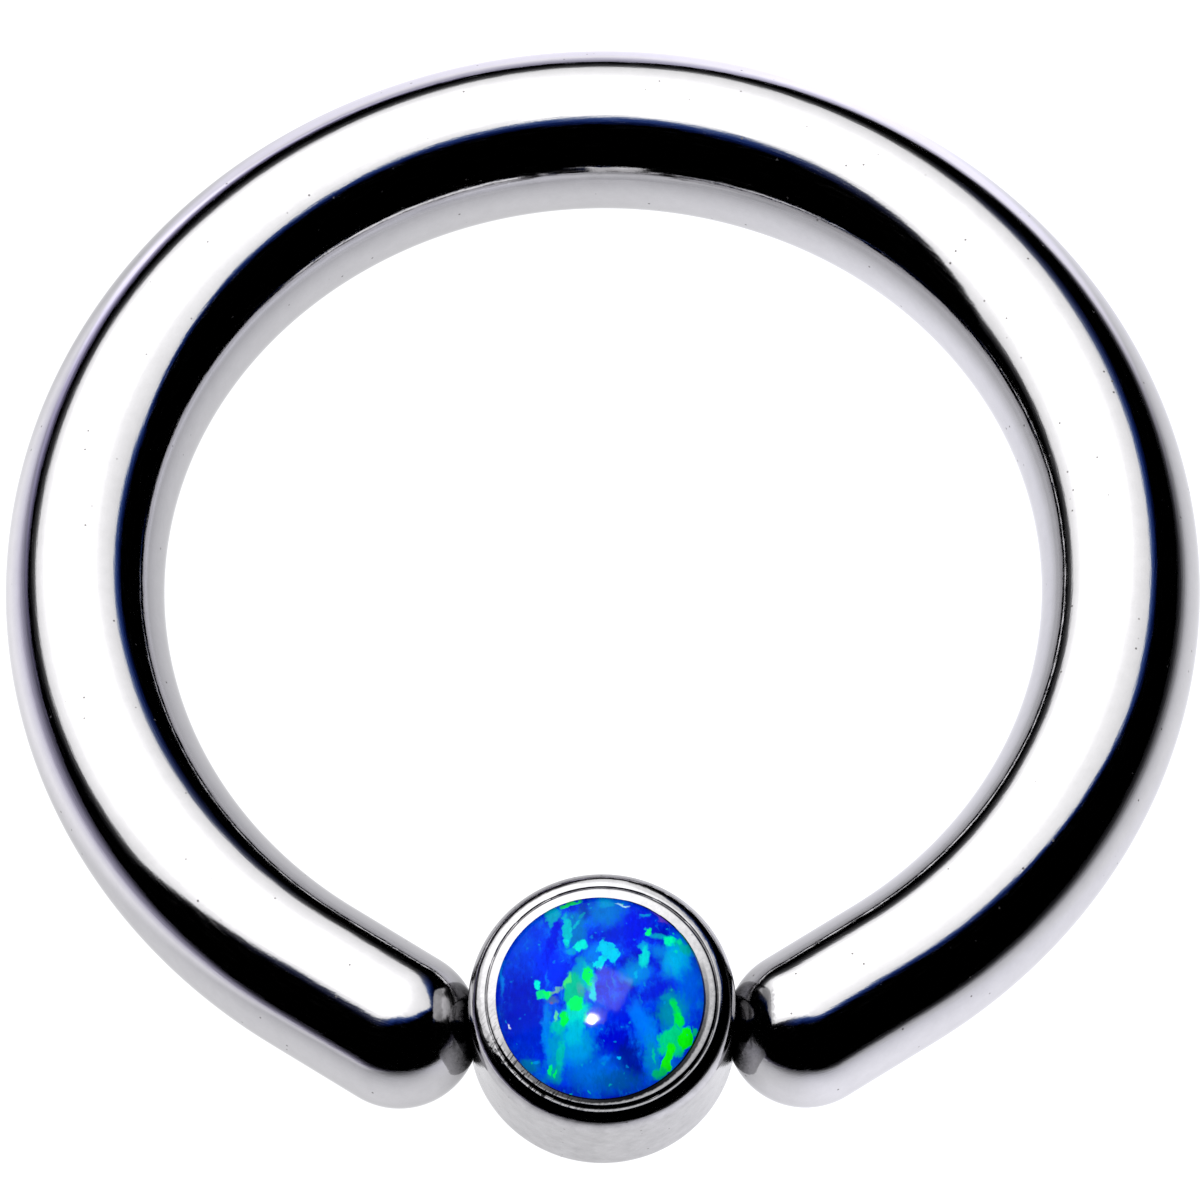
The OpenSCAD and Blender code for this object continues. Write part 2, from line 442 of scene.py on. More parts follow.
def add_traces_and_joint_shadow():
    tree = bezel_steel.node_tree
    shader = tree.nodes["Principled BSDF"]
    parts = add(tree, "ShaderNodeSeparateXYZ", {0: bead_place_mm}).outputs
    from_stone = distance(tree, calculate(tree, "SUBTRACT", parts["X"], STONE_SHIFT), parts["Y"], 0.0)
    fine = add(tree, "ShaderNodeTexNoise", {"Vector": bead_place_mm, "Scale": 1 / STREAK_MM, "Detail": 4.0,
                                             "Roughness": 0.7}).outputs[0]
    lip = fading(tree, from_stone, GROOVE_R + 0.08, GROOVE_R + 0.16)

    # The grey of the lip
    turned_by = calculate(tree, "SUBTRACT", round_bead, math.radians(LIP_GREY_SIDE))
    side = calculate(tree, "MULTIPLY_ADD", calculate(tree, "COSINE", turned_by), 0.5, 0.5)
    streaky = calculate(tree, "MULTIPLY_ADD", fine, 1.1, 0.45)
    grey = calculate(tree, "MULTIPLY", calculate(tree, "MULTIPLY", ramp(tree, side, LIP_GREY), streaky), lip)
    rubbed = trace(tree, calculate(tree, "MINIMUM", grey, 1.0), bezel_metal, "747476")

    # The painted shadow in the joint: a dark line beside the stone
    wavy = calculate(tree, "MULTIPLY_ADD", fine, JOINT_SHADOW_WAVE * 2, from_stone)
    shadow_end = LIP_R + JOINT_SHADOW + JOINT_SHADOW_WAVE
    line = fading(tree, wavy, shadow_end - JOINT_SHADOW_FADE, shadow_end)
    joint_shadow = calculate(tree, "MULTIPLY", line, towards(tree, JOINT_SHADOW_SIDE, 0.5))
    dark = trace(tree, joint_shadow, rubbed, "08080A")

    # The slips
    across = add(tree, "ShaderNodeMapping", {"Vector": bead_place_mm, "Rotation": (0, 0, SLIP_TURN),
                                              "Scale": SLIP_MM}, vector_type="TEXTURE").outputs[0]
    mess = add(tree, "ShaderNodeTexNoise", {"Vector": across, "Scale": 1.0, "Detail": 3.0, "Distortion": 0.6})
    cuts = fading(tree, mess.outputs[0], 0.6, 0.53)
    slips = calculate(tree, "MULTIPLY", calculate(tree, "MULTIPLY", cuts, lip), towards(tree, SLIP_SIDE, 5.0))
    tree.links.new(trace(tree, slips, dark, "141416"), shader.inputs["Base Color"])


add_traces_and_joint_shadow()
print("traces added to", bezel_steel.name)

# %% [markdown]
# The bead turns between the ring's ends. Painted shade darkens the steel there: on each end's tip it is
# darkest near the bead, and round the upper front it lies in arcs that leave only narrow bright crescents of
# the reflection. More painted shade lies in and beside the bead's dimples, where the ends sit.

# %% Paint shade on the steel where the bead turns
# Degrees round from the tip of a ring's end, and how dark the painted shade is there: on the upper front, and
# elsewhere
SHADE_ARCS = [(0, 0.95), (29, 0.95), (33, 0.5), (44, 0.4), (47, 0.85), (49, 0.3), (56, 0.2), (57.5, 0.5),
             (59, 0.55), (66, 0.5), (68, 0.0), (90, 0.0)]
SHADE_TIP = [(0, 0.95), (30, 0.9), (36, 0.55), (44, 0.3), (52, 0.12), (64, 0.0), (90, 0.0)]
# Where the arcs begin and end, in millimetres up a slope that rises to the back, and how softly
ARCS_LOW, ARCS_HIGH, ARCS_FADE = -0.45, 0.9, 0.2
SLOPE_BACK, SLOPE_UP = 0.9, 0.45
# Size of the noise that frays the edge of the painted shade
SHADE_RAG_MM = 0.1
# Millimetres from the middle of a dimple, and how dark the painted shade on the bead is there
DIMPLE_SHADE = [(0, 0.95), (0.76, 0.95), (0.9, 0.6), (1.15, 0.2), (1.4, 0.0), (2, 0.0)]


def from_contact(tree, own, centre):
    """The way from the nearer of two mirrored centres: inwards, to the back and up."""
    parts = add(tree, "ShaderNodeSeparateXYZ", {0: own}).outputs
    inward = calculate(tree, "SUBTRACT", centre.x, calculate(tree, "ABSOLUTE", parts["X"]))
    back = calculate(tree, "SUBTRACT", parts["Y"], centre.y)
    return inward, back, calculate(tree, "SUBTRACT", parts["Z"], centre.z)


def blacken(material, own, measure, rag, code, shaded):
    """Lays a colour of painted shade over the steel, as much as the given chart says at each place. The place is a
    measure with a ragged edge.
    """
    tree = material.node_tree
    shader = tree.nodes["Principled BSDF"]
    under = shader.inputs["Base Color"].links[0].from_socket
    shade_rag = add(tree, "ShaderNodeTexNoise", {"Vector": own, "Scale": 1 / SHADE_RAG_MM, "Detail": 4.0,
                                             "Roughness": 0.7}).outputs[0]
    place = calculate(tree, "MULTIPLY_ADD", calculate(tree, "SUBTRACT", shade_rag, 0.5), rag, measure)
    tree.links.new(trace(tree, shaded(place), under, code), shader.inputs["Base Color"])


def shade_ring_ends():
    tree = ring_steel.node_tree
    centre = Vector((END_X, 0, 0)) + bead_middle - ring_middle
    inward, back, up = from_contact(tree, ring_place_mm, centre)
    angle = calculate(tree, "DEGREES", calculate(tree, "ARCTAN2", distance(tree, 0.0, back, up), inward))
    slope = calculate(tree, "MULTIPLY_ADD", back, SLOPE_BACK, calculate(tree, "MULTIPLY", up, SLOPE_UP))
    above = fading(tree, slope, ARCS_LOW + ARCS_FADE, ARCS_LOW)
    below = fading(tree, slope, ARCS_HIGH - ARCS_FADE, ARCS_HIGH)
    upper_front = calculate(tree, "MULTIPLY", above, below)

    def shaded(place):
        charts = {6: ramp(tree, place, SHADE_TIP), 7: ramp(tree, place, SHADE_ARCS)}
        return add(tree, "ShaderNodeMix", {0: upper_front, **charts}, data_type="RGBA").outputs[2]

    # Painted shade on each ring end's tip, darkest near the bead, in arcs that leave bright crescents of reflection
    blacken(ring_steel, ring_place_mm, angle, 7.0, "151716", shaded)


def shade_dimples():
    tree = bezel_steel.node_tree
    measure = distance(tree, *from_contact(tree, bead_place_mm, Vector((BEAD_R - SEAT_DEPTH, 0, 0))))
    # Painted shade in and beside each dimple, where a ring's end sits
    blacken(bezel_steel, bead_place_mm, measure, 0.6, "0C0C0C", lambda place: ramp(tree, place, DIMPLE_SHADE))


shade_ring_ends()
shade_dimples()
print("steel worn at x =", round(END_X - WIRE_R, 2), "mm on both sides")

# %% [markdown]
# ## The ring
#
# A ring maker starts with a straight length of wire, rounds off both of its ends, and bends it round a
# former. Geometry Nodes can do the same: a straight rod with two half balls for ends is laid along X, and
# then each of its points is wound round the ring's middle by the length that lies before it. The last
# stretch at each end isn't wound, and stays straight. Winding keeps the rows of faces even from end to end,
# so the long reflections run smoothly.

# %% Work out how far the wire is bent
end_reach = math.hypot(RING_R, END_LEN)
gap_angle = math.asin(END_X / end_reach) + math.atan(END_LEN / RING_R)
bend_length = RING_R * (math.tau - 2 * gap_angle)
print("bent stretch", round(bend_length, 2), "mm, gap half angle", round(math.degrees(gap_angle), 2))


# %% Build the tree that bends the wire
def wire_tree():
    tree = bpy.data.node_groups.new("bend_the_wire", "GeometryNodeTree")
    for name, kind in (("Wire radius", "Float"), ("Ring radius", "Float"), ("Bent length", "Float"),
                       ("Straight end", "Float"), ("Rows", "Int"), ("Sides", "Int"), ("Middle", "Vector"),
                       ("Steel", "Material")):
        tree.interface.new_socket(name, in_out="INPUT", socket_type="NodeSocket" + kind)
    tree.interface.new_socket("Ring", in_out="OUTPUT", socket_type="NodeSocketGeometry")
    given = add(tree, "NodeGroupInput").outputs

    # The rod runs to where the half balls start, and the path over each ball is a quarter of a circle
    half_bend = calculate(tree, "MULTIPLY", given["Bent length"], 0.5)
    half_rod = calculate(tree, "ADD", half_bend, given["Straight end"])
    half_path = calculate(tree, "MULTIPLY_ADD", given["Wire radius"], math.pi / 2, half_rod)
    last_row = calculate(tree, "SUBTRACT", given["Rows"], 1.0)
    row = add(tree, "GeometryNodeInputIndex").outputs[0]
    share = calculate(tree, "MULTIPLY_ADD", calculate(tree, "DIVIDE", row, last_row), 2.0, -1.0)
    path = calculate(tree, "MULTIPLY", share, half_path)
    from_middle = calculate(tree, "ABSOLUTE", path)
    over = calculate(tree, "MAXIMUM", calculate(tree, "SUBTRACT", from_middle, half_rod), 0.0)
    ball_angle = calculate(tree, "DIVIDE", over, given["Wire radius"])
    along_ball = calculate(tree, "MULTIPLY", calculate(tree, "SINE", ball_angle), given["Wire radius"])
    along = calculate(tree, "ADD", calculate(tree, "MINIMUM", from_middle, half_rod), along_ball)
    place = calculate(tree, "MULTIPLY", along, calculate(tree, "SIGN", path))
    radius = calculate(tree, "MULTIPLY", calculate(tree, "COSINE", ball_angle), given["Wire radius"])

    # The straight rod
    line = add(tree, "GeometryNodeCurvePrimitiveLine", {"End": (1, 0, 0)})
    rows = add(tree, "GeometryNodeResampleCurve", {"Curve": line.outputs[0], "Count": given["Rows"]}, mode="COUNT")
    spot = add(tree, "ShaderNodeCombineXYZ", {"X": place})
    laid = add(tree, "GeometryNodeSetPosition", {"Geometry": rows.outputs[0], "Position": spot.outputs[0]})
    section = add(tree, "GeometryNodeCurvePrimitiveCircle", {"Resolution": given["Sides"], "Radius": 1.0})
    rod = add(tree, "GeometryNodeCurveToMesh", {"Curve": laid.outputs[0], "Profile Curve": section.outputs[0],
                                                 "Scale": radius})
    closed = add(tree, "GeometryNodeMergeByDistance", {"Geometry": rod.outputs[0], "Distance": 1e-6})

    # The bend
    parts = add(tree, "ShaderNodeSeparateXYZ", {0: add(tree, "GeometryNodeInputPosition").outputs[0]})
    least = calculate(tree, "MULTIPLY", half_bend, -1.0)
    wound = calculate(tree, "MAXIMUM", calculate(tree, "MINIMUM", parts.outputs["X"], half_bend), least)
    left_over = calculate(tree, "SUBTRACT", parts.outputs["X"], wound)
    outward = calculate(tree, "ADD", parts.outputs["Y"], given["Ring radius"])
    before = add(tree, "ShaderNodeCombineXYZ", {"X": left_over, "Y": outward, "Z": parts.outputs["Z"]})
    turn = calculate(tree, "MULTIPLY", calculate(tree, "DIVIDE", wound, given["Ring radius"]), -1.0)
    after = add(tree, "ShaderNodeVectorRotate", {"Vector": before.outputs[0], "Angle": turn}, rotation_type="Z_AXIS")
    moved = add(tree, "ShaderNodeVectorMath", {0: after.outputs[0], 1: given["Middle"]}, operation="ADD")
    bent = add(tree, "GeometryNodeSetPosition", {"Geometry": closed.outputs[0], "Position": moved.outputs[0]})

    smooth = add(tree, "GeometryNodeSetShadeSmooth", {"Geometry": bent.outputs[0]})
    real = add(tree, "GeometryNodeRealizeInstances", {"Geometry": smooth.outputs[0]})
    steel = add(tree, "GeometryNodeSetMaterial", {"Geometry": real.outputs[0], "Material": given["Steel"]})
    add(tree, "NodeGroupOutput", {"Ring": steel.outputs[0]})
    return tree


bend_the_wire = wire_tree()
print("tree with", len(bend_the_wire.nodes), "nodes")

# %% [markdown]
# A finished piece is a plain mesh at the origin that rides on its body and stands for its solid. Each mesh
# below goes through the same short function, which also checks that its faces point outwards: the volume
# that they enclose comes out negative if they don't.


# %% Make the finishing helpers
def finished(name, mesh, body, node):
    """Puts a mesh in the scene as a piece that rides on a body and replaces a solid."""
    shape = bmesh.new()
    shape.from_mesh(mesh)
    if shape.calc_volume(signed=True) < 0:
        bmesh.ops.reverse_faces(shape, faces=shape.faces)
    volume = shape.calc_volume(signed=True) / MM**3
    open_edges = sum(not edge.is_manifold for edge in shape.edges)
    shape.to_mesh(mesh)
    shape.free()
    piece = bpy.data.objects.new(name, mesh)
    bpy.context.scene.collection.objects.link(piece)
    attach(piece, body)
    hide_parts(node)
    print(name, len(mesh.polygons), "faces,", round(volume, 2), "cubic mm,", open_edges, "open edges")
    return piece


def baked(holder):
    """The plain mesh that an object's modifiers make. The object itself is removed."""
    depsgraph = bpy.context.evaluated_depsgraph_get()
    mesh = bpy.data.meshes.new_from_object(holder.evaluated_get(depsgraph), depsgraph=depsgraph)
    bpy.data.objects.remove(holder)
    return mesh


print("helpers ready")

# %% Bend the wire into the ring
ROWS = 520
SIDES = 96


def bend_ring():
    holder = bpy.data.objects.new("rod", bpy.data.meshes.new("rod"))
    bpy.context.scene.collection.objects.link(holder)
    bender = holder.modifiers.new("bend", "NODES")
    bender.node_group = bend_the_wire
    sizes = {"Wire radius": WIRE_R * MM, "Ring radius": RING_R * MM, "Bent length": bend_length * MM,
             "Straight end": END_LEN * MM, "Rows": ROWS, "Sides": SIDES, "Middle": ring_middle * MM,
             "Steel": ring_steel}
    for item in bend_the_wire.interface.items_tree:
        if item.in_out == "INPUT":
            bender[item.identifier] = sizes[item.name]
    return baked(holder)


finished("polished_ring", bend_ring(), "ring", "ring")

# %% [markdown]
# ## The bead
#
# The bead is turned on a lathe, so its mesh is built as a lathe would cut it: circles of points, from the
# middle of the back, up the wall, over the rim and down into the stone's seat. The seat was cut a little to
# one side of the drum's own middle, and the fine groove round the lip wasn't. So each circle says how far its
# middle is moved, and the circles of the rim take their height from where each point lies.

# %% Turn circles of points into a closed mesh
TURNS = 384


def turned(name, circles, height=None):
    """A closed mesh through circles of (radius, height or None, sideways shift). None asks height(x, y)."""
    shape = bmesh.new()
    rows = []
    for radius, level, shift in circles:
        row = []
        for step in range(TURNS if radius > 0 else 1):
            angle = math.tau * step / TURNS
            x = shift + radius * math.cos(angle)
            y = radius * math.sin(angle)
            z = height(x, y) if level is None else level
            row.append(shape.verts.new(bead_place @ Vector((x, y, z)) * MM))
        rows.append(row)
    for low, high in zip(rows, rows[1:]):
        for step in range(TURNS):
            after = (step + 1) % TURNS
            corners = [low[step % len(low)], low[after % len(low)], high[after % len(high)], high[step % len(high)]]
            shape.faces.new(list(dict.fromkeys(corners)))
    mesh = bpy.data.meshes.new(name)
    shape.to_mesh(mesh)
    shape.free()
    mesh.shade_smooth()
    return mesh


def quarter(radius, steps):
    """Points of a quarter of a circle, as (sine, cosine) times the radius, from the top to the side."""
    return [(radius * math.sin(math.pi / 2 * s / steps), radius * math.cos(math.pi / 2 * s / steps))
            for s in range(steps + 1)]


print("a quarter of the rim:", [round(across, 3) for across, up in quarter(FRONT_ROUND, 3)])

# %% Shape the rim, with the lip, the groove and the rounded front edge
FRONT_X = BEAD_R - FRONT_ROUND
FRONT_Z = LIP_Z - FRONT_ROUND
BACK_X = BEAD_R - BACK_ROUND
RIM_STEPS = 20
RIM_STEP = 0.008
LAND_FROM = GROOVE_R + 0.12
BLEND_FROM = GROOVE_R - 0.09
GROOVE_OVAL = 0.012
CHAMFER_SLOPE = 0.9
# Angles round from the right towards the back
PRESSED_SIDE, ROUGH_SIDE = math.radians(-50), math.radians(-140)
# Height and size of the burnisher's marks
RIM_WAVES = (0.0022, 0.22)
RIM_GRAIN = (0.0009, 0.07)


def smooth(value):
    """Runs from 0 to 1 with soft ends, and stays there."""
    share = min(1.0, max(0.0, value))
    return share * share * (3 - 2 * share)


def rim_height(x, y):
    """Height of the rim: a lip round the stone, a groove that was burnished in, a flat land and a round edge."""
    beyond = max(0.0, math.hypot(x, y) - FRONT_X)
    round_edge = FRONT_Z + math.sqrt(max(0.0, FRONT_ROUND**2 - beyond**2))
    across = math.hypot(x - STONE_SHIFT, y)
    angle = math.atan2(y, x)
    from_groove = math.hypot(x, y) - GROOVE_R - GROOVE_OVAL * math.cos(2 * angle)
    fall = GROOVE_DEPTH * max(0.0, 1 + from_groove / GROOVE_FALL) ** 2
    rise = LAND_DROP + (GROOVE_DEPTH - LAND_DROP) * (1 - smooth(from_groove / GROOVE_RISE))
    grooved = LIP_Z - (fall if from_groove < 0 else rise)
    # The burnisher pressed harder on the lower right, where it left a chamfer beside the stone
    chamfer = CHAMFER * smooth(0.5 + 0.6 * math.cos(angle - PRESSED_SIDE))
    inner = LIP_Z - max(0.0, chamfer - (across - LIP_R)) * CHAMFER_SLOPE
    # Its marks are waves and a finer grain, which is rougher on the lower left
    rough = 1 + 2.5 * smooth(math.cos(angle - ROUGH_SIDE) * 2 - 1)
    marks = [height * noise.noise(Vector((x, y, 0)) / size) for height, size in (RIM_WAVES, RIM_GRAIN)]
    return min(round_edge, grooved, inner) + marks[0] + rough * marks[1]


def rim_shift(radius):
    """How far a circle of the rim is moved sideways: not at all at the groove, fully at the stone."""
    return STONE_SHIFT * smooth((BLEND_FROM - radius) / (BLEND_FROM - LIP_R))


def rim_radii():
    """Radii of the rim's circles: even steps of angle over the round edge, then even steps across the lip."""
    rounded = [FRONT_X + across for across, up in quarter(FRONT_ROUND, RIM_STEPS)][::-1]
    radii = [r for r in rounded if r > LAND_FROM]
    while radii[-1] > LIP_R + RIM_STEP:
        radii.append(radii[-1] - RIM_STEP)
    return radii[:-1] + [LIP_R]


print("rim has", len(rim_radii()), "circles")


# %% Turn the bezel and cut its two dimples
def bezel_circles():
    back = [(0, BACK_Z, 0), (BACK_X / 2, BACK_Z, 0)]
    back += [(BACK_X + across, BACK_Z + BACK_ROUND - up, 0) for across, up in quarter(BACK_ROUND, 12)]
    wall_low = BACK_Z + BACK_ROUND
    wall = [(BEAD_R, wall_low + (FRONT_Z - wall_low) * step / 20, 0) for step in range(1, 20)]
    rim = [(radius, None, rim_shift(radius)) for radius in rim_radii()]
    seat_r = STONE_R + STONE_GAP
    under_lip = DOME_Z + math.sqrt((DOME_R + STONE_GAP) ** 2 - LIP_R**2)
    seat_top = DOME_Z + math.sqrt((DOME_R + STONE_GAP) ** 2 - seat_r**2)
    seat_floor = EDGE_Z - STONE_SIDE - STONE_GAP
    inside = [(LIP_R, under_lip), (seat_r, seat_top), (seat_r, seat_floor), (0, seat_floor)]
    return back + wall + rim + [(radius, level, STONE_SHIFT) for radius, level in inside]


def dimple(side):
    """A ball that cuts the dimple for one end of the ring."""
    ball = bmesh.new()
    bmesh.ops.create_uvsphere(ball, u_segments=128, v_segments=64, radius=(WIRE_R + DIMPLE_GAP) * MM)
    middle = Vector((side * END_X, bead_middle.y, bead_middle.z)) * MM
    place = Matrix.Translation(middle) @ Matrix.Rotation(math.pi / 2, 4, "Y")
    bmesh.ops.transform(ball, matrix=place, verts=ball.verts)
    mesh = bpy.data.meshes.new("dimple")
    ball.to_mesh(mesh)
    ball.free()
    cutter = bpy.data.objects.new("dimple", mesh)
    bpy.context.scene.collection.objects.link(cutter)
    return cutter


def cut_bezel():
    drum = bpy.data.objects.new("drum", turned("drum", bezel_circles(), rim_height))
    drum.data.materials.append(bezel_steel)
    bpy.context.scene.collection.objects.link(drum)
    cutters = [dimple(side) for side in (-1, 1)]
    for cutter in cutters:
        cut = drum.modifiers.new("dimple", "BOOLEAN")
        cut.operation = "DIFFERENCE"
        cut.solver = "EXACT"
        cut.object = cutter
    mesh = baked(drum)
    for cutter in cutters:
        bpy.data.objects.remove(cutter)
    mesh.shade_smooth()
    mesh.set_sharp_from_angle(angle=math.radians(35))
    return mesh


finished("turned_bezel", cut_bezel(), "bead", "bezel")

# %% [markdown]
# ## The opal
#
# The stone is a cabochon: a flat back, a short straight side under the lip and a polished dome cut from one
# ball. Its play of colour is what the eye sees. The body is a deep blue, and flakes of cyan, teal and green
# lie in it. Some have crisp, blocky edges and some are smeared into streaks. A few dozen of them are charted
# in millimetres from the stone's middle, from broad and soft to small and crisp. Two noises bend
# their edges, so that none looks like the ellipse that it is.

